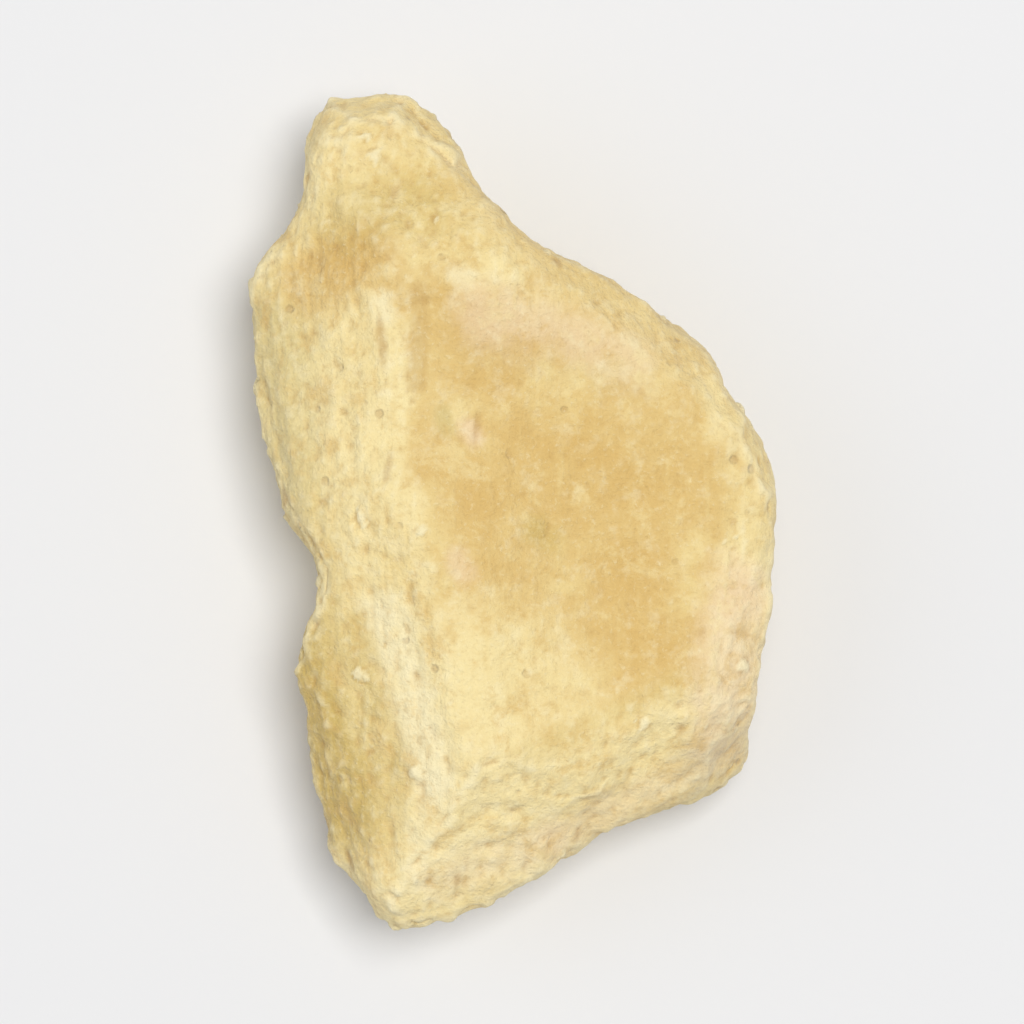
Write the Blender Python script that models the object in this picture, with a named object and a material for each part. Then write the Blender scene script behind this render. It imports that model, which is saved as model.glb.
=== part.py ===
"""A chip of dried orris root, chopped from a peeled rhizome.

Sizes are in metres and +Z is up. The chip lies on its flat split underside with
its length along Y, and the middle of that underside is at the origin. It grew
and was cut as one piece, so it is one solid.
"""

import math

import bmesh
import bpy
from mathutils import Vector, noise

MM = 0.001

# Overall size of the chip
LENGTH = 10.0 * MM
WIDTH = 6.3 * MM
THICKNESS = 3.2 * MM

# Width of the small facets that the finished surface is made of
FACET = 0.185 * MM

# The block that the knife leaves before the chop faces are taken off it
BLOCK_TOP = 5.0 * MM
BLOCK_FOOT = -0.3 * MM
FOOT_SHRINK = 0.93

# Outline seen from above, in millimetres from its middle, anticlockwise from the
# sharp lower tip. The waist is the hollow in the left side.
LOWER_TIP = (-1.4, -5.0)
OUTLINE = [
    LOWER_TIP,
    (-0.5, -4.65),
    (0.5, -4.2),
    (1.65, -3.65),
    (1.9, -3.3),
    (2.6, -3.15),
    (2.9, -2.8),
    (3.0, -1.8),
    (3.15, 0.4),
    (2.8, 1.25),
    (2.1, 2.15),
    (1.25, 2.8),
    (0.2, 3.35),
    (-0.4, 4.0),
    (-0.65, 4.65),
    (-1.1, 4.95),
    (-2.1, 5.0),
    (-2.2, 3.7),
    (-2.95, 2.7),
    (-3.1, 1.5),
    (-2.65, 0.5),
    (-2.1, -0.7),
    (-2.25, -1.25),
    (-3.15, -2.15),
    (-2.8, -3.0),
    (-2.3, -3.8),
    (-1.6, -4.25),
]

# The broad upper face, as a height over the middle and a slope along X and Y
PLATEAU_HEIGHT = 2.95 * MM
PLATEAU_SLOPE_X = -0.13
PLATEAU_SLOPE_Y = -0.02

# Chop faces around the plateau: two ends of the upper edge in millimetres, how
# far below the plateau that edge runs, and the fall away from it in degrees. Each
# edge is walked anticlockwise, so the waste is on its right.
CHOPS = {
    "upper left bevel": ((-1.1, 3.2), (-1.25, -0.6), 0.0, 28),
    "upper left side": ((-2.25, 2.9), (-1.95, -0.4), 0.5, 50),
    "lower left bevel": ((-1.15, -0.6), (-0.4, -3.2), 0.0, 26),
    "lower left side": ((-1.8, -1.0), (-1.15, -3.6), 0.27, 51),
    "bottom face": ((-0.35, -2.95), (2.95, -1.45), 0.0, 35),
    "right rim": ((2.2, -2.9), (2.75, 0.4), 0.0, 35),
    "upper right rim": ((3.1, 0.45), (0.3, 3.25), 0.0, 45),
    "neck top": ((0.4, 2.9), (-1.9, 2.8), 0.0, 19),
}

# Undercuts below the rim, in the same form: the lower edge lies on the underside,
# and the face climbs from it towards the rim, in degrees.
UNDERCUTS = {
    "under the neck": ((0.6, 2.2), (-2.4, 2.6), 34),
    "under the upper left": ((-1.95, 3.4), (-2.15, -0.2), 50),
    "under the waist": ((-1.5, 0.4), (-1.2, -2.2), 62),
    "under the lower left": ((-2.4, -1.0), (-1.6, -4.2), 45),
    "under the tip": ((-1.8, -3.2), (1.9, -2.1), 44),
    "under the right": ((1.8, -3.2), (2.1, 0.9), 47),
    "under the upper right": ((2.0, 0.5), (-0.1, 2.2), 44),
}

# Hollows and swells of the surface: middle and radii in millimetres, and how far
# the surface sinks (or rises, where the depth is negative)
HOLLOWS = {
    "plateau dish": ((1.35, -0.35, 2.9), (1.35, 2.1, 1.2), 0.30),
    "notch beside the neck": ((-2.15, 2.9, 2.7), (0.5, 0.5, 0.8), 0.28),
    "crease below the neck": ((-0.95, 2.0, 2.9), (0.24, 0.9, 0.8), 0.2),
    "scoop in the waist": ((-2.2, -0.7, 1.6), (0.6, 0.8, 0.9), 0.22),
    "swell of the bevel": ((-2.1, 1.3, 2.3), (0.6, 0.9, 0.9), -0.12),
    "scoop in the bottom face": ((0.9, -3.6, 2.1), (0.9, 0.5, 0.8), 0.14),
    "knob on the neck": ((-1.45, 4.5, 2.3), (0.5, 0.4, 0.7), -0.24),
    "saddle behind the knob": ((-1.4, 3.75, 2.6), (0.7, 0.3, 0.7), 0.16),
    "hollow under the rim": ((2.6, -0.9, 1.2), (0.8, 1.5, 0.7), 0.25),
    "hollow in the lower end": ((0.5, -4.2, 1.1), (1.3, 0.8, 0.6), 0.22),
}

# Flat faces that the knife left: the way each face looks, as degrees round from
# +X and degrees down from straight up, and how deep it bites, in millimetres
KNIFE_FACES = {
    "upper left bevel": (178, 28, 0.12),
    "upper left side": (185, 50, 0.12),
    "lower left bevel": (197, 26, 0.14),
    "lower left side": (197, 54, 0.13),
    "bottom face": (295, 35, 0.17),
    "right rim": (350, 35, 0.09),
    "upper right rim": (45, 45, 0.13),
    "neck top": (92, 19, 0.08),
    "knob left": (128, 50, 0.16),
    "knob end": (92, 64, 0.13),
    "knob right": (52, 62, 0.10),
    "shoulder": (20, 66, 0.10),
    "left corner": (158, 66, 0.13),
    "right corner": (322, 62, 0.14),
    "lower tip": (250, 60, 0.13),
    "tip left": (222, 68, 0.12),
    "under the neck": (82, 146, 0.13),
    "under the upper left": (177, 130, 0.14),
    "under the tip": (287, 136, 0.14),
    "under the right": (356, 133, 0.14),
    "under the upper right": (51, 136, 0.14),
}

# Uneven growth and breakage
LUMP_SIZE = 1.7 * MM
LUMP_HEIGHT = 0.13 * MM
PEBBLE_SIZE = 0.62 * MM
PEBBLE_HEIGHT = 0.055 * MM
FIBRE_WIDTH = 0.42 * MM
FIBRE_LENGTH = 3.2 * MM
FIBRE_HEIGHT = 0.045 * MM
LEDGE_SPACING = 0.95 * MM
LEDGE_HEIGHT = 0.1 * MM

# Dry root flesh
FLESH_COLOUR = (0.80, 0.64, 0.33, 1.0)
FLESH_ROUGHNESS = 0.86


def clear_scene():
    for item in list(bpy.data.objects):
        bpy.data.objects.remove(item, do_unlink=True)


def in_metres(point):
    return Vector(point) * MM


def plateau_at(x, y):
    """Height of the plateau's plane over a point, in metres."""
    return PLATEAU_HEIGHT + PLATEAU_SLOPE_X * x + PLATEAU_SLOPE_Y * y


def block_of_root():
    """The outline as an upright block whose foot is a little smaller than its top."""
    block = bmesh.new()
    corners = [block.verts.new((x * MM, y * MM, BLOCK_FOOT)) for x, y in OUTLINE]
    foot = block.faces.new(corners)
    raised = bmesh.ops.extrude_face_region(block, geom=[foot])
    top = [item for item in raised["geom"] if isinstance(item, bmesh.types.BMVert)]
    bmesh.ops.translate(block, verts=top, vec=(0, 0, BLOCK_TOP - BLOCK_FOOT))
    bmesh.ops.scale(block, verts=corners, vec=(FOOT_SHRINK, FOOT_SHRINK, 1))
    bmesh.ops.recalc_face_normals(block, faces=block.faces)
    return block


def cut_away(solid, on_plane, outward):
    """Cut the solid along a plane, drop what lies outward of it and close the cut."""
    everything = solid.verts[:] + solid.edges[:] + solid.faces[:]
    cut = bmesh.ops.bisect_plane(
        solid,
        geom=everything,
        plane_co=on_plane,
        plane_no=outward,
        clear_outer=True,
    )
    rim = [item for item in cut["geom_cut"] if isinstance(item, bmesh.types.BMEdge)]
    bmesh.ops.edgeloop_fill(solid, edges=rim)


def face_outward(start, end, degrees, up):
    """Normal of a face that falls (up = 1) or climbs (up = -1) right of an edge."""
    along = (end - start).normalized()
    aside = along.cross(Vector((0, 0, 1))).normalized()
    lift = aside.cross(along)
    angle = math.radians(degrees)
    return aside * math.sin(angle) + lift * up * math.cos(angle)


def chop_faces(solid):
    """Take the plateau and the chop faces around it off the block."""
    slope = Vector((-PLATEAU_SLOPE_X, -PLATEAU_SLOPE_Y, 1)).normalized()
    cut_away(solid, Vector((0, 0, PLATEAU_HEIGHT)), slope)
    for start, end, drop, fall in CHOPS.values():
        ends = []
        for x, y in (start, end):
            ends.append(Vector((x * MM, y * MM, plateau_at(x * MM, y * MM) - drop * MM)))
        cut_away(solid, ends[0], face_outward(ends[0], ends[1], fall, 1))


def undercut_faces(solid):
    """Take the lower faces off, so that the rim stands clear of the ground."""
    for start, end, climb in UNDERCUTS.values():
        ends = [Vector((x * MM, y * MM, 0)) for x, y in (start, end)]
        cut_away(solid, ends[0], face_outward(ends[0], ends[1], climb, -1))


def evenly_faceted(solid):
    """The same solid with an even skin of small facets."""
    rough = bpy.data.meshes.new("cut block")
    solid.to_mesh(rough)
    solid.free()
    body = bpy.data.objects.new("cut block", rough)
    bpy.context.collection.objects.link(body)
    facets = body.modifiers.new("even skin", "REMESH")
    facets.mode = "VOXEL"
    facets.voxel_size = FACET
    graph = bpy.context.evaluated_depsgraph_get()
    fine = bpy.data.meshes.new_from_object(body.evaluated_get(graph))
    bpy.data.objects.remove(body, do_unlink=True)
    bpy.data.meshes.remove(rough)
    skin = bmesh.new()
    skin.from_mesh(fine)
    bpy.data.meshes.remove(fine)
    return skin


def hollow_depth(point):
    """How far the named hollows sink the surface at a point, in metres."""
    depth = 0.0
    for middle, radii, deep in HOLLOWS.values():
        offset = point / MM - Vector(middle)
        reach = sum((offset[axis] / radii[axis]) ** 2 for axis in range(3))
        depth += deep * MM * math.exp(-reach)
    return depth


def fibre_swell(point):
    """Long low ridges that fan out along the grain from the lower tip."""
    tip = in_metres((*LOWER_TIP, 0))
    spread = (point.x - tip.x) / (1 + (point.y - tip.y) / LENGTH)
    across = Vector((spread, point.z * 0.6, 0)) / FIBRE_WIDTH
    grain = Vector((across.x, across.y, point.y / FIBRE_LENGTH))
    return FIBRE_HEIGHT * noise.noise(grain)


def ledge_step(point, normal):
    """Low broken ledges on the chop faces, none on the plateau or the underside."""
    steepness = 1 - min(1.0, abs(normal.z) ** 6)
    wander = 0.8 * noise.noise(point / (1.4 * MM))
    climb = (point.z + 0.35 * point.y) / LEDGE_SPACING + wander
    ramp = climb - math.floor(climb)
    return LEDGE_HEIGHT * steepness * (ramp - 0.5)


def growth_shift(point, normal):
    """How far uneven growth and breakage move the plain cut faces out."""
    lumps = LUMP_HEIGHT * noise.noise(point / LUMP_SIZE)
    return lumps + fibre_swell(point) + ledge_step(point, normal) - hollow_depth(point)


def pebble_shift(point, normal):
    """Small bumps and pits all over, half as high on the plateau."""
    bumps = noise.noise(point / PEBBLE_SIZE + Vector((7, 3, 5)))
    grit = 0.5 * noise.noise(point / (0.5 * PEBBLE_SIZE) + Vector((2, 9, 4)))
    return PEBBLE_HEIGHT * (bumps + grit) * (1 - 0.5 * max(0.0, normal.z) ** 8)


def wear(solid, rounds):
    """Rub the skin down a little, which takes the crispness off its edges."""
    for _ in range(rounds):
        bmesh.ops.smooth_vert(
            solid,
            verts=solid.verts,
            factor=0.5,
            use_axis_x=True,
            use_axis_y=True,
            use_axis_z=True,
        )


def roughen(solid, shift):
    """Move every point of the skin along its own direction by a relief."""
    solid.normal_update()
    moves = [(vert, vert.normal.copy()) for vert in solid.verts]
    for vert, normal in moves:
        vert.co = vert.co + normal * shift(vert.co, normal)


def knife_cuts(solid):
    """Slice what stands furthest out in each knife face's direction off flat."""
    for around, down, bite in KNIFE_FACES.values():
        turn = math.radians(around)
        tilt = math.radians(down)
        level = Vector((math.cos(turn), math.sin(turn), 0))
        outward = level * math.sin(tilt) + Vector((0, 0, math.cos(tilt)))
        reach = max(vert.co.dot(outward) for vert in solid.verts)
        cut_away(solid, outward * (reach - bite * MM), outward)


def settle(solid):
    """Split the underside flat, then bring the chip to size over the origin."""
    cut_away(solid, Vector((0, 0, 0)), Vector((0, 0, -1)))
    low = Vector([min(vert.co[axis] for vert in solid.verts) for axis in range(3)])
    high = Vector([max(vert.co[axis] for vert in solid.verts) for axis in range(3)])
    middle = (low + high) / 2
    bmesh.ops.translate(solid, verts=solid.verts, vec=(-middle.x, -middle.y, -low.z))
    size = high - low
    fit = (WIDTH / size.x, LENGTH / size.y, THICKNESS / size.z)
    bmesh.ops.scale(solid, verts=solid.verts, vec=fit)


def flesh_material():
    flesh = bpy.data.materials.new("dry root flesh")
    flesh.use_nodes = True
    shader = flesh.node_tree.nodes["Principled BSDF"]
    shader.inputs["Base Color"].default_value = FLESH_COLOUR
    shader.inputs["Roughness"].default_value = FLESH_ROUGHNESS
    shader.inputs["Metallic"].default_value = 0.0
    return flesh


def make_root_chip():
    block = block_of_root()
    chop_faces(block)
    undercut_faces(block)
    grown = evenly_faceted(block)
    wear(grown, 1)
    roughen(grown, growth_shift)
    wear(grown, 1)
    knife_cuts(grown)
    chip = evenly_faceted(grown)
    roughen(chip, pebble_shift)
    settle(chip)
    bmesh.ops.recalc_face_normals(chip, faces=chip.faces)

    mesh = bpy.data.meshes.new("root_chip")
    chip.to_mesh(mesh)
    chip.free()
    mesh.materials.append(flesh_material())
    body = bpy.data.objects.new("root_chip", mesh)
    bpy.context.collection.objects.link(body)
    return body


clear_scene()
make_root_chip()
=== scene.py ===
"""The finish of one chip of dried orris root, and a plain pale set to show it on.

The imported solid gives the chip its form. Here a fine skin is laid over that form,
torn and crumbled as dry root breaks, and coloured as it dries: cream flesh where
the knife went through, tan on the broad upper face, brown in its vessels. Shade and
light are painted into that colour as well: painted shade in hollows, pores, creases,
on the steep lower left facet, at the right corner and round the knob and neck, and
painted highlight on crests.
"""

import math

import bmesh
import bpy
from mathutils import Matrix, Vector, noise


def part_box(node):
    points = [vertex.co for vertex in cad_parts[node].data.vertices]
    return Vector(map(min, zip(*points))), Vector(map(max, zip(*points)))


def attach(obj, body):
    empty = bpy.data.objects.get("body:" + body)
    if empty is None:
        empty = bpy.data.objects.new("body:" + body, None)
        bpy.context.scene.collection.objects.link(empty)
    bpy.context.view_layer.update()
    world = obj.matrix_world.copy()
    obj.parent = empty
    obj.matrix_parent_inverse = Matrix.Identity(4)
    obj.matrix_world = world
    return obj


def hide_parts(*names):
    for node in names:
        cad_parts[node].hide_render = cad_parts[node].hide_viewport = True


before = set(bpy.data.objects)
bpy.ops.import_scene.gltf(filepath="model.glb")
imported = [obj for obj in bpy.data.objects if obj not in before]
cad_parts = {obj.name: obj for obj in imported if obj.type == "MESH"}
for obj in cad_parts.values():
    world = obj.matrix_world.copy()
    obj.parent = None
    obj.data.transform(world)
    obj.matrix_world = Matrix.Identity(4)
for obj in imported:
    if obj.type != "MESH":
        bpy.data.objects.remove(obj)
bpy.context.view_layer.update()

MM = 0.001

# The chip's own box, in millimetres
CHIP_LOW, CHIP_HIGH = (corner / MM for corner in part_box("root_chip"))
CHIP_SIZE = CHIP_HIGH - CHIP_LOW

# The fine skin: the size of its cells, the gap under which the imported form's points
# are one, and the height up to which it belongs to the flat underside, in millimetres
SKIN_CELL = 0.043
MERGE_GAP = 0.0002
FOOT_BAND = 2 * SKIN_CELL

# How hard and how often the skin is rubbed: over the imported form, after the knife,
# and to find what stands out as an edge or sinks as a pore
RUB_STRENGTH = 0.5
FORM_RUBS = 10
FACE_RUBS = 2
EDGE_RUBS = 36
PORE_RUBS = 5

# Where the knife left flat faces: the way each face looks, as degrees round from
# +X and degrees down from straight up, and how deep it bites, in millimetres
KNIFE_FACES = {
    "upper left bevel": (178, 28, 0.08),
    "upper left side": (185, 50, 0.08),
    "lower left bevel": (197, 26, 0.09),
    "lower left side": (197, 54, 0.08),
    "bottom face": (295, 35, 0.10),
    "right rim": (350, 35, 0.07),
    "upper right rim": (45, 45, 0.08),
    "neck top": (92, 19, 0.06),
    "knob left": (128, 50, 0.09),
    "knob end": (92, 64, 0.08),
    "knob right": (52, 62, 0.08),
    "shoulder": (20, 66, 0.06),
    "left corner": (158, 66, 0.08),
    "right corner": (322, 62, 0.09),
    "lower tip": (250, 60, 0.08),
    "tip left": (222, 68, 0.07),
    "under the neck": (82, 146, 0.08),
    "under the upper left": (177, 130, 0.09),
    "under the lower left": (194, 134, 0.03),
    "under the tip": (287, 136, 0.09),
    "under the right": (356, 133, 0.09),
    "under the upper right": (51, 136, 0.09),
}

# The soft noises of the flesh: the size of their lumps, in millimetres, and a shift
# that keeps them apart
NOISES = {
    "waver": (1.9, (0, 0, 0)),
    "sway": (2.3, (4, 1, 8)),
    "warp": (1.3, (2, 8, 5)),
    "chunk": (0.5, (8, 1, 4)),
    "grain": (0.17, (3, 7, 1)),
    "meal": (0.095, (5, 2, 9)),
    "ledge wander": (1.5, (0, 0, 0)),
    "fine ledge wander": (0.4, (0, 0, 0)),
    "torn patch": (1.3, (9, 2, 6)),
    "bite": (0.36, (1, 5, 3)),
    "small bite": (0.144, (6, 6, 2)),
    "crumb rim": (0.08, (0, 0, 0)),
    "tan rim": (0.7, (0, 0, 0)),
    "fine tan rim": (0.22, (0, 0, 0)),
}

# The grain runs along Y: how far it wavers sideways and up and down, in millimetres,
# and how much it leans to the side
GRAIN_WAVER = 0.22
GRAIN_SWAY = 0.18
GRAIN_LEAN = 0.06

# Relief of the broken flesh, in millimetres
WARP_HEIGHT = 0.055
CHUNK_HEIGHT = 0.055
LEDGE_SPACING = 0.42
LEDGE_HEIGHT = 0.04
FIBRE_WIDTH = 0.15
FIBRE_LENGTH = 1.6
FIBRE_HEIGHT = 0.010
GRAIN_HEIGHT = 0.024
MEAL_HEIGHT = 0.014
VESSEL_SPACING = 0.62
VESSEL_LENGTH = 3.0
VESSEL_RADIUS = 0.06
VESSEL_DEPTH = 0.024
BITE_DEPTH = 0.09
CRUMB_SPACING = 0.55
CRUMB_RADIUS = 0.085
CRUMB_HEIGHT = 0.045

# How the torn ledges lie: the way they climb, how far they wander in broad and fine
# lumps, in ledges, and the part of a ledge after which it drops
LEDGE_CLIMB = Vector((0.25, 0.5, 1.0))
LEDGE_WANDER = 0.8
FINE_LEDGE_WANDER = 0.3
LEDGE_DROP = 0.85

# How keen the fibres are, the noise at which a chunk is neither raised nor sunk, how
# crumbs are scattered, how few they are and how ragged their rims
FIBRE_KEENNESS = 3
CHUNK_MIDDLE = 0.2
CRUMB_SCATTER = 3.1
CRUMB_RARITY = 0.15
CRUMB_RAGGED = 0.8

# Shares: how much calmer the tan face is, how deep a vessel is where it lies along
# the surface, how deep a small bite is, and the relief left on the underside
TAN_CALM = 0.45
VESSEL_LYING = 0.4
SMALL_BITE = 0.5
FOOT_RELIEF = 0.6

# Where each mask begins and where it is full. Levels are heights of the surface's
# normal, stands are in millimetres and patches are values of noise. The vessel's rim
# goes from full to nothing, in vessel radii.
TAN_LEVEL = (0.6, 0.85)
UNTORN_LEVEL = (0.75, 0.95)
EDGE_STAND = (0.006, 0.04)
PORE_STAND = (0.001, 0.014)
HOLLOW_STAND = (0.004, 0.05)
TORN_PATCH = (0.0, 0.25)
BITE_PATCH = (-0.05, 0.4)
SMALL_BITE_PATCH = (0.0, 0.5)
VESSEL_RIM = (0.5, 1.5)

# The tan upper face: its corners seen from above, anticlockwise, how soft its rim is
# and how far that rim wanders in broad and fine lumps, in millimetres
TAN_CORNERS = [
    (-1.15, 2.8),
    (-1.25, 0.6),
    (-1.1, -1.2),
    (-0.45, -3.2),
    (0.4, -2.84),
    (2.25, -2.0),
    (2.85, 0.3),
    (2.0, 1.9),
    (0.5, 2.85),
]
TAN_RIM = 0.14
TAN_WANDER = 0.22
FINE_TAN_WANDER = 0.1


def smooth_step(low, high, value):
    """0 below low, 1 above high, and an even curve between them."""
    part = min(1.0, max(0.0, (value - low) / (high - low)))
    return part * part * (3 - 2 * part)


def rub(skin, rounds):
    """Smooth the whole skin a little, as many times as asked."""
    for _ in range(rounds):
        bmesh.ops.smooth_vert(
            skin,
            verts=skin.verts,
            factor=RUB_STRENGTH,
            use_axis_x=True,
            use_axis_y=True,
            use_axis_z=True,
        )


def even_skin(form):
    """Lay an even skin of fine cells over a closed form, and drop the form."""
    mesh = bpy.data.meshes.new("chip form")
    form.to_mesh(mesh)
    form.free()
    body = bpy.data.objects.new("chip form", mesh)
    bpy.context.collection.objects.link(body)
    cells = body.modifiers.new("even cells", "REMESH")
    cells.mode = "VOXEL"
    cells.voxel_size = SKIN_CELL
    graph = bpy.context.evaluated_depsgraph_get()
    fine = bpy.data.meshes.new_from_object(body.evaluated_get(graph))
    bpy.data.objects.remove(body, do_unlink=True)
    bpy.data.meshes.remove(mesh)

    skin = bmesh.new()
    skin.from_mesh(fine)
    bpy.data.meshes.remove(fine)
    return skin


def packed_form():
    """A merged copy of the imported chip, in millimetres."""
    form = bmesh.new()
    form.from_mesh(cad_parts["root_chip"].data)
    bmesh.ops.remove_doubles(form, verts=form.verts, dist=MERGE_GAP * MM)
    bmesh.ops.scale(form, verts=form.verts, vec=(1 / MM, 1 / MM, 1 / MM))
    return form


def looking(around, down):
    """The direction that looks around degrees from +X and down degrees from +Z."""
    turn = math.radians(around)
    tilt = math.radians(down)
    return Vector((math.sin(tilt) * math.cos(turn), math.sin(tilt) * math.sin(turn), math.cos(tilt)))


def knife_cut(skin, outward, bite):
    """Slice the part that stands furthest out in a direction off flat."""
    reach = max(vert.co.dot(outward) for vert in skin.verts)
    everything = skin.verts[:] + skin.edges[:] + skin.faces[:]
    cut = bmesh.ops.bisect_plane(
        skin,
        geom=everything,
        plane_co=outward * (reach - bite),
        plane_no=outward,
        clear_outer=True,
    )
    rim = [item for item in cut["geom_cut"] if isinstance(item, bmesh.types.BMEdge)]
    bmesh.ops.edgeloop_fill(skin, edges=rim)


def chopped_form():
    """The chip's form with crisp knife faces, under an even skin."""
    skin = even_skin(packed_form())
    rub(skin, FORM_RUBS)
    for around, down, bite in KNIFE_FACES.values():
        knife_cut(skin, looking(around, down), bite)
    bmesh.ops.triangulate(skin, faces=[face for face in skin.faces if len(face.verts) > 4])
    skin = even_skin(skin)
    rub(skin, FACE_RUBS)
    return skin


def stands_out(skin, rounds):
    """How far each point stands out from the same skin rubbed smooth, in millimetres."""
    rounded = skin.copy()
    rub(rounded, rounds)
    skin.normal_update()
    heights = [
        (here.co - there.co).dot(here.normal)
        for here, there in zip(skin.verts, rounded.verts)
    ]
    rounded.free()
    return heights


def lumps(name, place):
    """The named soft noise at a point, from about -1 to 1."""
    size, shift = NOISES[name]
    return noise.noise(place / size + Vector(shift))


def grain_place(place):
    """The point in the root's grain, which runs along Y and wavers a little."""
    aside = GRAIN_WAVER * lumps("waver", place) - GRAIN_LEAN * place.y
    rise = GRAIN_SWAY * lumps("sway", place)
    return Vector((place.x + aside, place.y, place.z + rise))


def tan_amount(place, normal):
    """How much of the tan upper face a point has, from 0 to 1."""
    wander = TAN_WANDER * lumps("tan rim", place) + FINE_TAN_WANDER * lumps("fine tan rim", place)
    depths = []
    for here, there in zip(TAN_CORNERS, TAN_CORNERS[1:] + TAN_CORNERS[:1]):
        side = Vector(there) - Vector(here)
        offset = place.xy - Vector(here)
        depths.append((side.x * offset.y - side.y * offset.x) / side.length)
    return smooth_step(0.0, TAN_RIM, min(depths) + wander) * smooth_step(*TAN_LEVEL, normal.z)


def broken_ledges(place):
    """Low torn steps, each with a slow rise and a sudden drop."""
    wander = LEDGE_WANDER * lumps("ledge wander", place)
    wander += FINE_LEDGE_WANDER * lumps("fine ledge wander", place)
    climb = place.dot(LEDGE_CLIMB) / LEDGE_SPACING + wander
    ramp = climb - math.floor(climb)
    drop = smooth_step(LEDGE_DROP, 1.0, ramp)
    torn = smooth_step(*TORN_PATCH, lumps("torn patch", place))
    return LEDGE_HEIGHT * torn * (ramp - drop)


def torn_fibres(grain):
    """Fine ridges that run with the grain."""
    ridge = noise.noise(Vector((
        grain.x / FIBRE_WIDTH,
        grain.y / FIBRE_LENGTH,
        grain.z / FIBRE_WIDTH,
    )))
    return FIBRE_HEIGHT * (1 - FIBRE_KEENNESS * abs(ridge))


def crumbly_break(place):
    """The break of the dry flesh: its broad warp, and its chunks with the floury grain."""
    warp = WARP_HEIGHT * lumps("warp", place)
    chunk = CHUNK_HEIGHT * (abs(lumps("chunk", place)) - CHUNK_MIDDLE)
    grain = GRAIN_HEIGHT * lumps("grain", place) + MEAL_HEIGHT * lumps("meal", place)
    return warp, chunk + grain


def vessel_amount(grain):
    """How near a point is to one of the thin vessels that run with the grain."""
    cell = Vector((grain.x / VESSEL_SPACING, grain.y / VESSEL_LENGTH, grain.z / VESSEL_SPACING))
    nearest = noise.voronoi(cell)[0][0] * VESSEL_SPACING
    return 1 - smooth_step(*VESSEL_RIM, nearest / VESSEL_RADIUS)


def bites(place):
    """Where the crisp edges have crumbled away."""
    large = smooth_step(*BITE_PATCH, lumps("bite", place))
    small = smooth_step(*SMALL_BITE_PATCH, lumps("small bite", place))
    return BITE_DEPTH * (large + SMALL_BITE * small)


def crumb_amount(place):
    """Loose crumbs of flesh that cling here and there."""
    distances, middles = noise.voronoi(place / CRUMB_SPACING)
    if noise.noise(middles[0] * CRUMB_SCATTER) < CRUMB_RARITY:
        return 0.0
    ragged = 1 + CRUMB_RAGGED * lumps("crumb rim", place)
    reach = distances[0] * CRUMB_SPACING / CRUMB_RADIUS * ragged
    return math.sqrt(max(0.0, 1 - reach * reach))


def break_surface(skin):
    """Give the skin its relief, and return the masks that the relief is made from."""
    edges = [smooth_step(*EDGE_STAND, height) for height in stands_out(skin, EDGE_RUBS)]
    masks = {"tan_face": [], "worn_edge": edges, "vessel": [], "crumb": []}
    places = []
    for vert, edge in zip(skin.verts, edges):
        place = vert.co
        normal = vert.normal
        grain = grain_place(place)
        tan = tan_amount(place, normal)
        vessel = vessel_amount(grain)
        crumb = crumb_amount(place) * (1 - tan)
        across = normal.y * normal.y
        warp, crumble = crumbly_break(place)
        rough = 1 - TAN_CALM * tan
        shift = warp + crumble * rough
        shift += broken_ledges(place) * (1 - tan) * (1 - smooth_step(*UNTORN_LEVEL, normal.z))
        shift += torn_fibres(grain) * (1 - across) * rough
        shift -= VESSEL_DEPTH * vessel * (VESSEL_LYING + (1 - VESSEL_LYING) * across)
        shift -= bites(place) * edge
        shift += CRUMB_HEIGHT * crumb
        if place.z < FOOT_BAND:
            shift = -FOOT_RELIEF * abs(shift)
        places.append(place + normal * shift)
        masks["tan_face"].append(tan)
        masks["vessel"].append(vessel)
        masks["crumb"].append(crumb)
    for vert, place in zip(skin.verts, places):
        vert.co = (place.x, place.y, max(0.0, place.z))
    return masks


def fit_to_solid(skin):
    """Stretch the skin by the little that the rubbing took, back to the solid's size."""
    low = Vector([min(vert.co[axis] for vert in skin.verts) for axis in range(3)])
    high = Vector([max(vert.co[axis] for vert in skin.verts) for axis in range(3)])
    size = high - low
    fit = Vector([CHIP_SIZE[axis] / size[axis] for axis in range(3)])
    bmesh.ops.translate(skin, verts=skin.verts, vec=-low)
    bmesh.ops.scale(skin, verts=skin.verts, vec=fit)
    bmesh.ops.translate(skin, verts=skin.verts, vec=CHIP_LOW)


def finished_chip():
    """The chip's visible piece, with the masks that its colours follow."""
    skin = chopped_form()
    masks = break_surface(skin)
    fit_to_solid(skin)
    relief = stands_out(skin, PORE_RUBS)
    # Painted highlight: the crest mask lightens what stands out.
    masks["crest_highlight"] = [smooth_step(*PORE_STAND, height) for height in relief]
    # Painted shade: the pore mask darkens small pits.
    masks["pore_shade"] = [smooth_step(*PORE_STAND, -height) for height in relief]
    # Painted shade: the hollow mask darkens broad sunk places.
    sunk = stands_out(skin, EDGE_RUBS)
    masks["hollow"] = [smooth_step(*HOLLOW_STAND, -height) for height in sunk]
    bmesh.ops.scale(skin, verts=skin.verts, vec=(MM, MM, MM))
    bmesh.ops.recalc_face_normals(skin, faces=skin.faces)

    mesh = bpy.data.meshes.new("orris_root_chip")
    skin.to_mesh(mesh)
    skin.free()
    mesh.shade_smooth()
    for name, values in masks.items():
        mesh.attributes.new(name, "FLOAT", "POINT").data.foreach_set("value", values)
    chip = bpy.data.objects.new("orris_root_chip", mesh)
    bpy.context.collection.objects.link(chip)
    return chip


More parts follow.
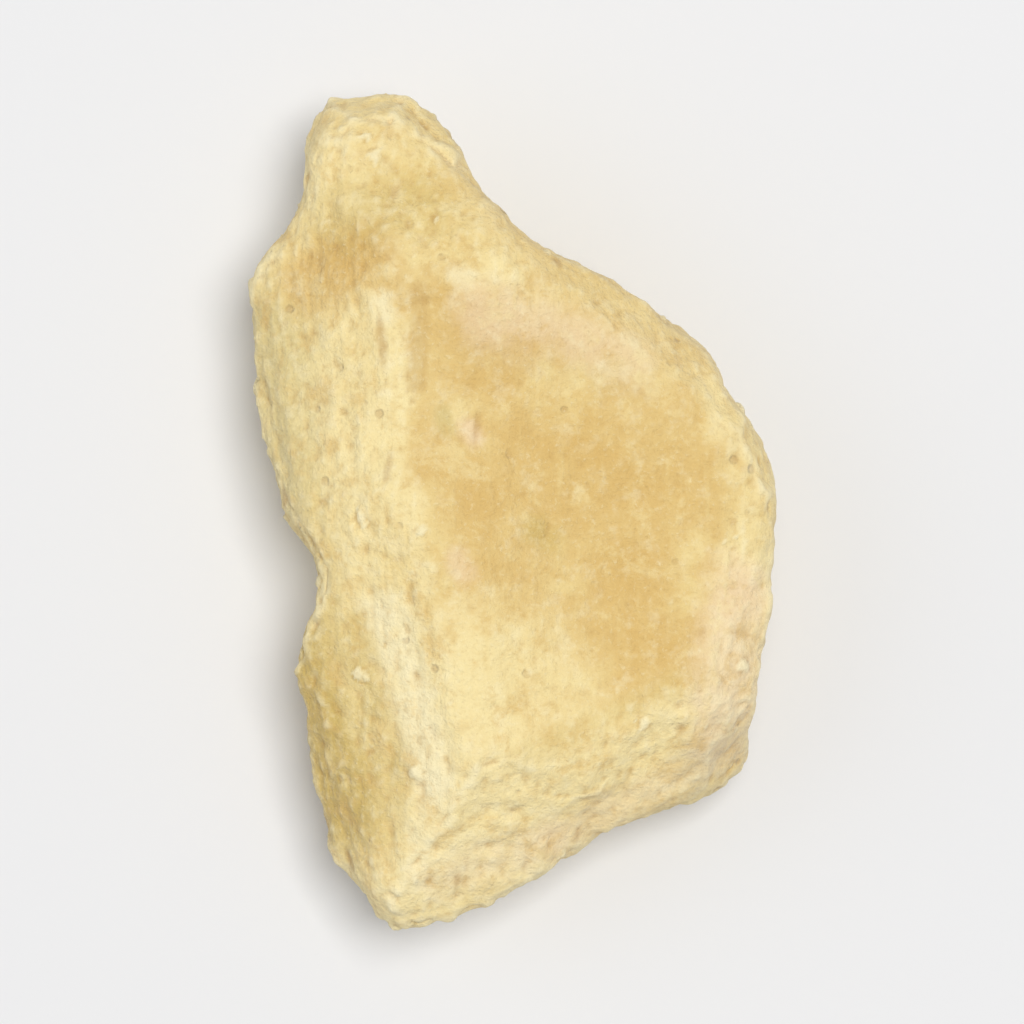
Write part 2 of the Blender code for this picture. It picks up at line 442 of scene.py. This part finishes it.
class Wire:
    """A socket of a material, with arithmetic that adds Math nodes."""

    def __init__(self, finish, socket):
        self.finish = finish
        self.socket = socket

    def maths(self, operation, first, second):
        return self.finish.node("ShaderNodeMath", {"operation": operation}, {0: first, 1: second})

    def __add__(self, other):
        return self.maths("ADD", self, other)

    def __radd__(self, other):
        return self.maths("ADD", other, self)

    def __sub__(self, other):
        return self.maths("SUBTRACT", self, other)

    def __rsub__(self, other):
        return self.maths("SUBTRACT", other, self)

    def __mul__(self, other):
        return self.maths("MULTIPLY", self, other)

    def __rmul__(self, other):
        return self.maths("MULTIPLY", other, self)


class Finish:
    """A procedural material that is being put together."""

    def __init__(self, name):
        self.material = bpy.data.materials.new(name)
        self.material.use_nodes = True
        self.tree = self.material.node_tree
        self.shader = self.tree.nodes["Principled BSDF"]

    def feed(self, socket, value):
        if isinstance(value, Wire):
            self.tree.links.new(value.socket, socket)
        else:
            socket.default_value = value

    def node(self, kind, settings=None, sockets=None, output=0):
        item = self.tree.nodes.new(kind)
        for name, value in (settings or {}).items():
            setattr(item, name, value)
        for name, value in (sockets or {}).items():
            self.feed(item.inputs[name], value)
        return Wire(self, item.outputs[output])

    def set_shader(self, **values):
        for name, value in values.items():
            self.feed(self.shader.inputs[name.replace("_", " ")], value)

    def place(self, stretch=(1, 1, 1)):
        """The point on the piece in millimetres, stretched along the axes."""
        spot = self.node("ShaderNodeTexCoord", output="Object")
        scale = tuple(part / MM for part in stretch)
        return self.node("ShaderNodeVectorMath", {"operation": "MULTIPLY"}, {0: spot, 1: scale})

    def mask(self, name):
        return self.node("ShaderNodeAttribute", {"attribute_name": name}, output="Fac")

    def cloud(self, where, size, detail, roughness, distortion):
        """Soft noise whose blotches are about size millimetres across."""
        sockets = {
            "Vector": where,
            "Scale": 1 / size,
            "Detail": detail,
            "Roughness": roughness,
            "Distortion": distortion,
        }
        return self.node("ShaderNodeTexNoise", None, sockets)

    def specks(self, where, size):
        """Distance to the nearest of many scattered points."""
        sockets = {"Vector": where, "Scale": 1 / size, "Randomness": 1.0}
        return self.node("ShaderNodeTexVoronoi", None, sockets, output="Distance")

    def streak(self, where, start, end, reach, ragged):
        """1 along the line between two points and 0 outside its reach, with a ragged rim."""
        line = Vector(end) - Vector(start)
        offset = self.node("ShaderNodeVectorMath", {"operation": "SUBTRACT"}, {0: where, 1: start})
        across = line / line.length_squared
        along = self.node("ShaderNodeVectorMath", {"operation": "DOT_PRODUCT"}, {0: offset, 1: across}, 1)
        part = self.node("ShaderNodeClamp", None, {"Value": along, "Min": 0.0, "Max": 1.0})
        nearest = self.node("ShaderNodeVectorMath", {"operation": "SCALE"}, {0: line, "Scale": part})
        away = self.node("ShaderNodeVectorMath", {"operation": "DISTANCE"}, {0: offset, 1: nearest}, 1)
        return self.between(away * (1 / reach) + (ragged - 0.5) * STAIN_AND_SHADE_WANDER, *STAIN_AND_SHADE_RIM)

    def between(self, value, begins, full):
        """0 where the value begins, 1 where it is full, and an even curve between them."""
        sockets = {"Value": value, "From Min": begins, "From Max": full}
        return self.node("ShaderNodeMapRange", {"interpolation_type": "SMOOTHSTEP"}, sockets)

    def colours(self, first, second, amount):
        """Two colours mixed by an amount."""
        settings = {"data_type": "RGBA", "clamp_factor": True}
        sockets = {"Factor": amount, 6: first, 7: second}
        return self.node("ShaderNodeMix", settings, sockets, output=2)

    def relief(self, height, depth, strength):
        """A bump of that depth in millimetres."""
        sockets = {"Height": height, "Distance": depth * MM, "Strength": strength}
        return self.node("ShaderNodeBump", None, sockets)


def paint(red, green, blue):
    """A paint given in the everyday 0 to 255 scale, as the linear colour of light."""
    return (*(((part / 255 + 0.055) / 1.055) ** 2.4 for part in (red, green, blue)), 1.0)


CREAM = paint(246, 227, 169)
BUFF = paint(237, 213, 149)
CHALK = paint(250, 238, 196)
TAN = paint(229, 200, 134)
TAN_DEEP = paint(217, 180, 108)
ROSY = paint(239, 210, 169)
ASH = paint(212, 194, 152)
OLIVE = paint(212, 193, 132)
OLIVE_DEEP = paint(205, 177, 101)
VESSEL_BROWN = paint(165, 118, 60)
# Brown for painted shade in hollows, pores and the plateau seam, and for dark flecks of meal
SHADE_AND_FLECK_BROWN = paint(186, 145, 80)

# Stains in the flesh, and painted shade and painted shadow: a line from one point to
# another and its reach, in millimetres, then the colour and its strength
STAINS_AND_PAINTED_SHADE = {
    "warm middle": ((0.2, 0.6, 3.0), (1.9, 0.5, 3.0), 1.1, TAN_DEEP, 0.65),
    "warm centre": ((0.6, -0.2, 3.0), (1.2, -0.5, 3.0), 0.7, TAN_DEEP, 0.35),
    "warm right": ((1.45, -0.8, 3.0), (1.6, -1.7, 3.0), 0.75, TAN_DEEP, 0.7),
    "warm upper left": ((-0.8, 2.4, 3.0), (-0.2, 1.8, 3.0), 0.6, TAN_DEEP, 0.65),
    "warm left": ((-0.75, 0.5, 3.0), (-0.2, -0.7, 3.0), 0.55, TAN_DEEP, 0.5),
    "pale upper band": ((-0.2, 2.7, 3.0), (1.7, 2.15, 2.9), 0.35, CREAM, 0.5),
    "ashen upper band": ((-0.3, 2.2, 3.0), (1.4, 1.75, 2.9), 0.5, ASH, 0.25),
    "rosy upper band": ((-0.3, 2.35, 3.0), (1.5, 1.9, 2.9), 0.45, ROSY, 0.55),
    "pale lower left": ((-0.55, -1.8, 3.0), (-0.2, -3.0, 3.0), 0.95, CREAM, 0.85),
    "pale lower middle": ((0.3, -1.6, 3.0), (0.8, -2.3, 3.0), 0.5, CREAM, 0.45),
    "upper ridge": ((-1.5, 2.5, 2.8), (-1.9, 0.9, 2.7), 0.36, BUFF, 0.4),
    "middle ridge": ((-1.9, 0.9, 2.7), (-1.75, -1.0, 2.7), 0.38, CREAM, 0.7),
    "lower ridge": ((-1.5, -1.2, 2.8), (-0.9, -3.2, 2.7), 0.37, CHALK, 0.65),
    "tip ridge": ((-0.9, -3.2, 2.6), (-1.15, -4.4, 1.9), 0.35, CHALK, 0.45),
    "upper outer left": ((-2.8, 2.3, 2.0), (-2.55, 0.3, 2.0), 0.6, OLIVE, 0.65),
    "waist": ((-2.25, -0.2, 1.8), (-2.1, -1.2, 1.8), 0.4, OLIVE, 0.5),
    # Painted shade: the steep lower left facet and the rim where it breaks from the ridge
    "painted shade on the lower left facet": ((-2.35, -1.8, 1.6), (-2.0, -3.5, 1.5), 0.95, OLIVE_DEEP, 0.95),
    "painted shade along the lower left rim": ((-1.8, -1.3, 2.4), (-1.2, -3.4, 2.3), 0.22, OLIVE_DEEP, 0.55),
    # Painted shade along the break between the upper face and the bottom face
    "painted shade along the bottom crease": ((0.1, -2.9, 2.9), (2.2, -1.95, 2.8), 0.2, OLIVE_DEEP, 0.32),
    "bottom face": ((-0.3, -3.8, 2.3), (2.0, -2.7, 2.2), 0.8, CREAM, 0.7),
    "chalky tip": ((-0.9, -4.2, 1.9), (0.1, -3.9, 2.0), 0.45, CHALK, 0.35),
    "rosy bottom edge": ((0.3, -3.95, 1.9), (2.3, -2.95, 2.0), 0.35, ROSY, 0.35),
    "rosy right": ((2.55, -2.7, 2.2), (2.65, -0.9, 2.3), 0.55, ROSY, 0.8),
    "chalky right": ((2.6, -2.3, 2.2), (2.6, -1.5, 2.3), 0.45, CHALK, 0.28),
    "rosy tip": ((-0.9, -4.3, 1.9), (0.4, -3.9, 2.0), 0.4, ROSY, 0.35),
    # Painted shadow: a grey patch at the right corner
    "painted shadow at the right corner": ((2.6, -2.7, 1.9), (2.2, -3.0, 1.9), 0.45, ASH, 0.5),
    "right rim": ((2.95, -0.2, 2.2), (2.7, 1.3, 2.2), 0.45, BUFF, 0.8),
    "upper right rim": ((2.3, 1.8, 2.3), (0.4, 3.1, 2.3), 0.5, TAN, 0.75),
    # Painted shade: the notch at the neck's foot and the step beside it
    "painted shade at the neck foot": ((-2.4, 2.7, 2.5), (-1.75, 3.05, 2.6), 0.5, TAN_DEEP, 0.9),
    "painted shade along the neck step": ((-1.45, 3.1, 2.8), (-1.3, 2.5, 2.9), 0.22, TAN_DEEP, 0.6),
    "neck bright spot": ((-1.55, 2.45, 2.8), (-1.5, 2.3, 2.8), 0.2, CHALK, 0.7),
    "upper bright spot": ((-0.65, 2.8, 3.0), (-0.55, 2.75, 3.0), 0.18, CHALK, 0.5),
    # Olive tint of the neck, deepened with painted shade below the raised knob
    "neck": ((-1.9, 3.5, 2.5), (-0.9, 3.7, 2.5), 0.6, OLIVE_DEEP, 0.5),
    "neck right": ((-0.7, 3.9, 2.3), (0.1, 3.2, 2.4), 0.4, TAN, 0.7),
    "knob": ((-1.7, 4.6, 2.2), (-1.2, 4.55, 2.2), 0.6, BUFF, 0.7),
    # Painted shadows: thin dark lines down both sides of the raised knob
    "painted shadow left of the knob": ((-2.15, 4.8, 1.8), (-2.1, 4.0, 2.0), 0.17, OLIVE_DEEP, 0.6),
    "painted shadow right of the knob": ((-0.9, 4.9, 1.8), (-0.6, 4.2, 2.0), 0.2, OLIVE_DEEP, 0.5),
    # Painted shade: a brown line where the upper face steps down at its left rim
    "painted shade along the plateau seam": ((-1.08, 2.6, 3.1), (-1.12, 1.5, 3.1), 0.15, SHADE_AND_FLECK_BROWN, 0.45),
    "rosy spot": ((-0.52, 1.02, 3.1), (-0.45, 0.9, 3.1), 0.2, ROSY, 0.85),
    "grey spot": ((-0.8, 1.15, 3.1), (-0.76, 1.0, 3.1), 0.15, OLIVE, 0.7),
    "olive speck": ((0.3, -0.2, 3.1), (0.5, -0.35, 3.1), 0.24, OLIVE_DEEP, 0.8),
    "right speck": ((1.1, -0.45, 3.1), (1.25, -0.55, 3.1), 0.18, OLIVE_DEEP, 0.6),
    "left rosy speck": ((-0.65, -0.55, 3.1), (-0.55, -0.7, 3.1), 0.2, ROSY, 0.6),
}

# Stains run deep, so heights count for less in them and in the painted shade. Then
# how far noise can move their rims in all, and where a rim begins and is full, in reaches
STAIN_AND_SHADE_FLATNESS = 0.4
STAIN_AND_SHADE_WANDER = 1.6
STAIN_AND_SHADE_RIM = (1.2, 0.2)

# Soft clouds that colour the flesh: size in millimetres, detail, roughness and
# distortion. The streaks lie along the grain, stretched this much.
CLOUDS = {
    "broad": (2.2, 3.0, 0.55, 0.0),
    "patches": (0.75, 4.0, 0.6, 0.4),
    "mottle": (0.26, 3.0, 0.6, 0.0),
    "flecks": (0.42, 5.0, 0.68, 0.3),
    "meal": (0.055, 3.0, 0.65, 0.0),
}
STREAKS = (0.16, 3.0, 0.55, 0.0)
STREAK_STRETCH = (1, 0.1, 1)

# The first two coats, where a cloud begins and is full: buff over cream flesh, and
# buff over the tan face with that strength
BUFF_FLESH = (0.38, 0.66)
BUFF_TAN = (0.42, 0.62)
BUFF_TAN_STRENGTH = 0.85

# Cut vessel ends: how far apart, in millimetres, how their rims go from full to
# nothing, in spacings, and the patches that have them, as the cloud begins and is full
DOT_SPACING = 0.4
DOT_RIM = (0.08, 0.17)
DOT_PATCH = (0.48, 0.6)

# Worn edges are dusty only in patches, and stains are ragged by two clouds
DUSTY_PATCH = (0.3, 0.6)
RAGGED_PATCHES = 0.55
RAGGED_MOTTLE = 0.45

# Thin coats over the stains and painted shade, in their order: what each follows, where
# that begins and is full if it is a cloud, then the coat's paint and its strength. The
# hollow, pore and crest coats are painted shade and painted highlight.
COATS = [
    ("mottle", (0.5, 0.7), TAN_DEEP, 0.32),
    ("mottle", (0.48, 0.3), CHALK, 0.28),
    ("flecks", (0.52, 0.68), TAN_DEEP, 0.5),
    ("flecks", (0.48, 0.34), CREAM, 0.4),
    ("streaks", (0.55, 0.75), BUFF, 0.35),
    # Painted shade in the hollows
    ("hollow", None, SHADE_AND_FLECK_BROWN, 0.35),
    # Painted shade in the pores
    ("pore_shade", None, SHADE_AND_FLECK_BROWN, 0.45),
    ("vessel", None, VESSEL_BROWN, 0.4),
    ("dots", None, VESSEL_BROWN, 0.3),
    ("dusty_edge", None, CHALK, 0.5),
    # Painted highlight on the crests
    ("crest_highlight", None, CHALK, 0.45),
    ("crumb", None, CHALK, 0.6),
    ("meal", (0.55, 0.75), CHALK, 0.3),
    ("meal", (0.44, 0.26), SHADE_AND_FLECK_BROWN, 0.22),
]

# The lowest relief is bump: its depth in millimetres, its strength, and how much
# each of these raises it
BUMP_DEPTH = 0.05
BUMP_STRENGTH = 0.9
BUMP_SHARES = {"mottle": 0.5, "streaks": 0.5, "meal": 0.6, "dots": -0.4}

# Dry flesh is dull, its meal still duller, and the tan face a little less
FLESH_ROUGHNESS = 0.9
MEAL_ROUGHNESS = 0.1
TAN_SMOOTHNESS = 0.08


def signs_in_flesh(finish):
    """Everything that the colours of the flesh follow, by name."""
    where = finish.place()
    signs = {name: finish.cloud(where, *look) for name, look in CLOUDS.items()}
    signs["streaks"] = finish.cloud(finish.place(STREAK_STRETCH), *STREAKS)
    for name in ("tan_face", "worn_edge", "hollow", "vessel", "crumb", "crest_highlight", "pore_shade"):
        signs[name] = finish.mask(name)
    dots = 1 - finish.between(finish.specks(where, DOT_SPACING), *DOT_RIM)
    signs["dots"] = dots * finish.between(signs["patches"], *DOT_PATCH)
    signs["dusty_edge"] = signs["worn_edge"] * finish.between(signs["patches"], *DUSTY_PATCH)
    return signs


def stained_and_shaded(finish, colour, ragged):
    """A colour with all the stains, painted shade and painted shadows laid over it."""
    where = finish.place((1, 1, STAIN_AND_SHADE_FLATNESS))
    flat = Vector((1, 1, STAIN_AND_SHADE_FLATNESS))
    for start, end, reach, tint, strength in STAINS_AND_PAINTED_SHADE.values():
        stain_and_shade = finish.streak(where, Vector(start) * flat, Vector(end) * flat, reach, ragged)
        colour = finish.colours(colour, tint, stain_and_shade * strength)
    return colour


def root_flesh():
    """Dry orris flesh: cream and chalky, tan above, with vessels, fine grain, painted shade in hollows,
    pores and creases, and painted highlight on crests.
    """
    finish = Finish("dry orris flesh")
    signs = signs_in_flesh(finish)
    flesh = finish.colours(CREAM, BUFF, finish.between(signs["broad"], *BUFF_FLESH))
    buff = finish.between(signs["patches"], *BUFF_TAN) * BUFF_TAN_STRENGTH
    upper = finish.colours(TAN, BUFF, buff)
    colour = finish.colours(flesh, upper, signs["tan_face"])
    ragged = signs["patches"] * RAGGED_PATCHES + signs["mottle"] * RAGGED_MOTTLE
    colour = stained_and_shaded(finish, colour, ragged)
    for name, cloud_span, tint, strength in COATS:
        amount = finish.between(signs[name], *cloud_span) if cloud_span else signs[name]
        colour = finish.colours(colour, tint, amount * strength)

    height = sum(signs[name] * share for name, share in BUMP_SHARES.items())
    normal = finish.relief(height, BUMP_DEPTH, BUMP_STRENGTH)
    roughness = FLESH_ROUGHNESS + signs["meal"] * MEAL_ROUGHNESS - signs["tan_face"] * TAN_SMOOTHNESS
    finish.set_shader(Base_Color=colour, Roughness=roughness, Normal=normal)
    finish.set_shader(Specular_IOR_Level=0.2, Sheen_Weight=0.15, Sheen_Roughness=0.6)
    return finish.material


# The set, in metres and watts: the floor, the lamps by place, size, power and
# colour, and the light of the room
FLOOR_REACH = 0.25
FLOOR_PALE = (0.8, 0.8, 0.805, 1.0)
LAMPS = {
    "key": ((0.028, 0.018, 0.185), 0.07, 0.25, (1.0, 0.995, 0.985)),
    "fill": ((-0.14, 0.02, 0.12), 0.16, 0.05, (0.97, 0.98, 1.0)),
}
ROOM_COLOUR = (0.97, 0.98, 1.0, 1.0)
ROOM_STRENGTH = 0.34

# The camera: lens and sensor in millimetres, the picture's height in chip lengths,
# and the nearest and furthest that it sees, in metres
LENS = 200.0
SENSOR = 36.0
PICTURE_HEIGHT = 1.2
NEAREST = 0.005
FURTHEST = 10.0


def pale_floor():
    """A plain pale sheet under the chip."""
    sheet = bmesh.new()
    bmesh.ops.create_grid(sheet, x_segments=1, y_segments=1, size=FLOOR_REACH)
    mesh = bpy.data.meshes.new("floor")
    sheet.to_mesh(mesh)
    sheet.free()
    floor = bpy.data.objects.new("floor", mesh)
    bpy.context.collection.objects.link(floor)
    finish = Finish("pale floor")
    finish.set_shader(Base_Color=FLOOR_PALE, Roughness=0.9, Specular_IOR_Level=0.1)
    mesh.materials.append(finish.material)


def soft_lamp(name, place, size, power, colour):
    """A square soft light that faces the chip."""
    light = bpy.data.lights.new(name, "AREA")
    light.size = size
    light.energy = power
    light.color = colour
    lamp = bpy.data.objects.new(name, light)
    lamp.location = place
    lamp.rotation_euler = Vector(place).to_track_quat("Z", "Y").to_euler()
    bpy.context.collection.objects.link(lamp)


def studio_light():
    """A pale even room, a soft lamp nearly overhead and a weak one on the left."""
    for name, (place, size, power, colour) in LAMPS.items():
        soft_lamp(name, place, size, power, colour)
    room = bpy.data.worlds.new("pale room")
    room.use_nodes = True
    sky = room.node_tree.nodes["Background"]
    sky.inputs["Color"].default_value = ROOM_COLOUR
    sky.inputs["Strength"].default_value = ROOM_STRENGTH
    bpy.context.scene.world = room


def camera_above():
    """The photograph's view: straight down, from far enough to look flat."""
    picture = PICTURE_HEIGHT * CHIP_SIZE.y * MM
    camera = bpy.data.cameras.new("camera")
    camera.lens = LENS
    camera.sensor_width = SENSOR
    camera.clip_start = NEAREST
    camera.clip_end = FURTHEST
    eye = bpy.data.objects.new("camera", camera)
    middle = (CHIP_LOW + CHIP_HIGH) * 0.5 * MM
    eye.location = (middle.x, middle.y, CHIP_HIGH.z * MM + picture * LENS / SENSOR)
    bpy.context.collection.objects.link(eye)
    bpy.context.scene.camera = eye


chip = finished_chip()
chip.data.materials.append(root_flesh())
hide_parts("root_chip")
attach(chip, "root")

pale_floor()
studio_light()
camera_above()
bpy.context.scene.view_settings.view_transform = "Standard"
